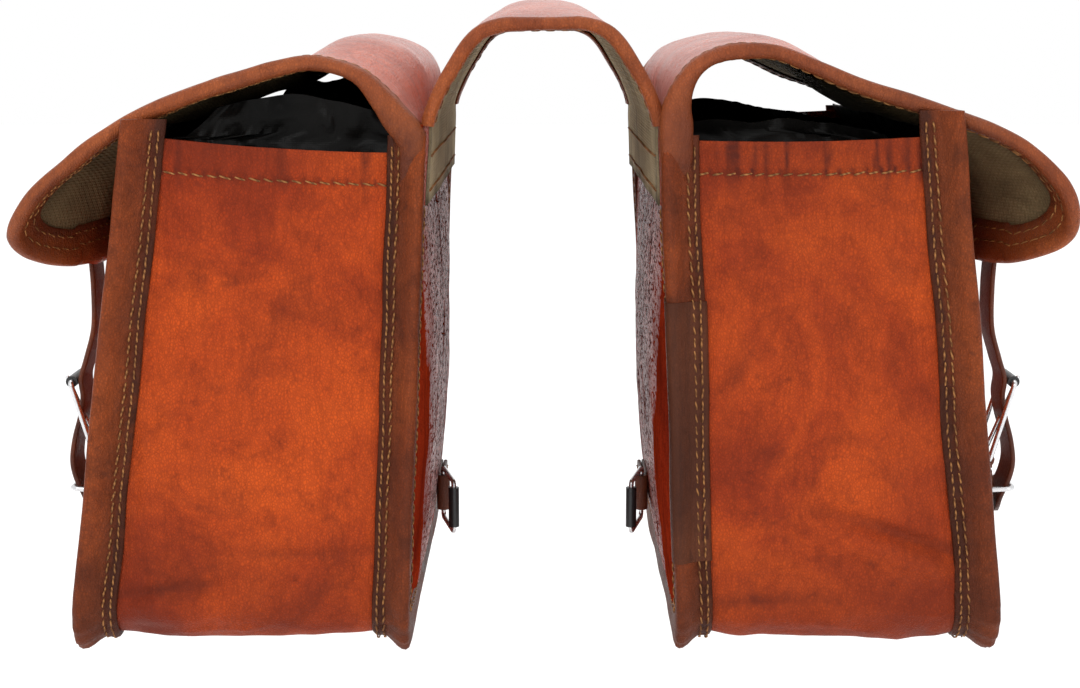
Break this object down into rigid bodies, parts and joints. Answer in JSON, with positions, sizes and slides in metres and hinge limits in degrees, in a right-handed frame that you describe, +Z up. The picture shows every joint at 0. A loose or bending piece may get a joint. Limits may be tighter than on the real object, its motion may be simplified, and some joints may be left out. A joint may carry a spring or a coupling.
{
  "type": "saddle bag",
  "caption": "Throw-over bicycle saddle bag: two leather pouches with buckled flaps, joined by a bridge over the rack.",
  "frame": {"origin": "middle of the bridge's flat underside, which lies on the rack", "axes": "+X across the bicycle towards the right pouch, +Y along the bicycle, +Z up"},
  "size_m": [0.4398, 0.2713, 0.2701],
  "materials": {
    "panel_leather": "burnished orange-brown, mottled",
    "flap_leather": "polished red-brown",
    "back_leather": "glossy dark red",
    "binding_leather": "worn brown",
    "dark_leather": "dark brown",
    "strap_leather": "oiled brown",
    "canvas": "olive canvas",
    "lining_cloth": "thin black cloth",
    "thread": "waxed tan thread",
    "wire_steel": "nickel-plated wire",
    "black_metal": "glossy black"
  },
  "bodies": {
    "root": {"bridge_leather": "flap_leather", "bridge_canvas": "canvas", "bridge_bindings": "binding_leather"},
    "left_pouch": {"left_bridge_leg": "flap_leather", "left_leg_canvas": "canvas", "left_leg_bindings": "binding_leather", "left_back_panel": "back_leather", "left_front_panel": "panel_leather", "left_gusset": "panel_leather", "left_lining": "lining_cloth", "left_front_binding": "binding_leather", "left_back_binding": "binding_leather", "left_root_bindings": "binding_leather", "left_magnet_plates": "wire_steel", "left_rear_tab": "strap_leather"},
    "left_flap": {"left_flap": "flap_leather", "left_flap_canvas": "canvas", "left_flap_binding": "binding_leather", "left_straps": "strap_leather", "left_buckle_tabs": "strap_leather", "left_buckle_frames": "wire_steel", "left_keepers": "wire_steel", "left_magnet_caps": "wire_steel", "left_rivets": "wire_steel"},
    "left_near_prong": {"left_near_prong": "wire_steel"},
    "left_near_roller": {"left_near_roller": "black_metal"},
    "left_far_prong": {"left_far_prong": "wire_steel"},
    "left_far_roller": {"left_far_roller": "black_metal"},
    "left_rear_loop": {"left_rear_loop": "wire_steel"},
    "left_rear_roller": {"left_rear_roller": "black_metal"},
    "right_pouch": {"right_bridge_leg": "flap_leather", "right_leg_canvas": "canvas", "right_leg_bindings": "binding_leather", "right_back_panel": "back_leather", "right_front_panel": "panel_leather", "right_gusset": "panel_leather", "right_lining": "lining_cloth", "right_front_binding": "binding_leather", "right_back_binding": "binding_leather", "right_root_bindings": "binding_leather", "right_magnet_plates": "wire_steel", "right_rear_tab": "strap_leather", "right_binding_patch": "dark_leather"},
    "right_flap": {"right_flap": "flap_leather", "right_flap_canvas": "canvas", "right_flap_binding": "binding_leather", "right_straps": "strap_leather", "right_buckle_tabs": "strap_leather", "right_buckle_frames": "wire_steel", "right_keepers": "wire_steel", "right_magnet_caps": "wire_steel", "right_rivets": "wire_steel"},
    "right_near_prong": {"right_near_prong": "wire_steel"},
    "right_near_roller": {"right_near_roller": "black_metal"},
    "right_far_prong": {"right_far_prong": "wire_steel"},
    "right_far_roller": {"right_far_roller": "black_metal"},
    "right_rear_loop": {"right_rear_loop": "wire_steel"},
    "right_rear_roller": {"right_rear_roller": "black_metal"}
  },
  "joints": [
    {"name": "left_pouch_swing", "type": "hinge", "parent": "root", "child": "left_pouch", "pos_m": [-0.0242, 0, 0.0016], "axis": [0, 1, 0], "range_deg": [0, 25]},
    {"name": "left_flap_open", "type": "hinge", "parent": "left_pouch", "child": "left_flap", "pos_m": [-0.085, 0, -0.0013], "axis": [0, 1, 0], "range_deg": [0, 100]},
    {"name": "left_near_prong_lift", "type": "hinge", "parent": "left_flap", "child": "left_near_prong", "pos_m": [-0.1975, -0.067, -0.1893], "axis": [0, -1, 0], "range_deg": [0, 7]},
    {"name": "left_near_roller_spin", "type": "hinge", "parent": "left_flap", "child": "left_near_roller", "pos_m": [-0.2076, -0.067, -0.154], "axis": [0, 1, 0], "continuous": true},
    {"name": "left_far_prong_lift", "type": "hinge", "parent": "left_flap", "child": "left_far_prong", "pos_m": [-0.1975, 0.067, -0.1893], "axis": [0, -1, 0], "range_deg": [0, 7]},
    {"name": "left_far_roller_spin", "type": "hinge", "parent": "left_flap", "child": "left_far_roller", "pos_m": [-0.2076, 0.067, -0.154], "axis": [0, 1, 0], "continuous": true},
    {"name": "left_rear_loop_swing", "type": "hinge", "parent": "left_pouch", "child": "left_rear_loop", "pos_m": [-0.049, 0.018, -0.227], "axis": [0, 0, 1], "range_deg": [-10, 120]},
    {"name": "left_rear_roller_spin", "type": "hinge", "parent": "left_rear_loop", "child": "left_rear_roller", "pos_m": [-0.04255, -0.01232, -0.227], "axis": [0, 0, 1], "continuous": true},
    {"name": "right_pouch_swing", "type": "hinge", "parent": "root", "child": "right_pouch", "pos_m": [0.0242, 0, 0.0016], "axis": [0, -1, 0], "range_deg": [0, 25]},
    {"name": "right_flap_open", "type": "hinge", "parent": "right_pouch", "child": "right_flap", "pos_m": [0.085, 0, -0.0013], "axis": [0, -1, 0], "range_deg": [0, 100]},
    {"name": "right_near_prong_lift", "type": "hinge", "parent": "right_flap", "child": "right_near_prong", "pos_m": [0.1975, -0.067, -0.1893], "axis": [0, 1, 0], "range_deg": [0, 7]},
    {"name": "right_near_roller_spin", "type": "hinge", "parent": "right_flap", "child": "right_near_roller", "pos_m": [0.2076, -0.067, -0.154], "axis": [0, 1, 0], "continuous": true},
    {"name": "right_far_prong_lift", "type": "hinge", "parent": "right_flap", "child": "right_far_prong", "pos_m": [0.1975, 0.067, -0.1893], "axis": [0, 1, 0], "range_deg": [0, 7]},
    {"name": "right_far_roller_spin", "type": "hinge", "parent": "right_flap", "child": "right_far_roller", "pos_m": [0.2076, 0.067, -0.154], "axis": [0, 1, 0], "continuous": true},
    {"name": "right_rear_loop_swing", "type": "hinge", "parent": "right_pouch", "child": "right_rear_loop", "pos_m": [0.049, 0.018, -0.227], "axis": [0, 0, -1], "range_deg": [-10, 120]},
    {"name": "right_rear_roller_spin", "type": "hinge", "parent": "right_rear_loop", "child": "right_rear_roller", "pos_m": [0.04255, -0.01232, -0.227], "axis": [0, 0, 1], "continuous": true}
  ]
}
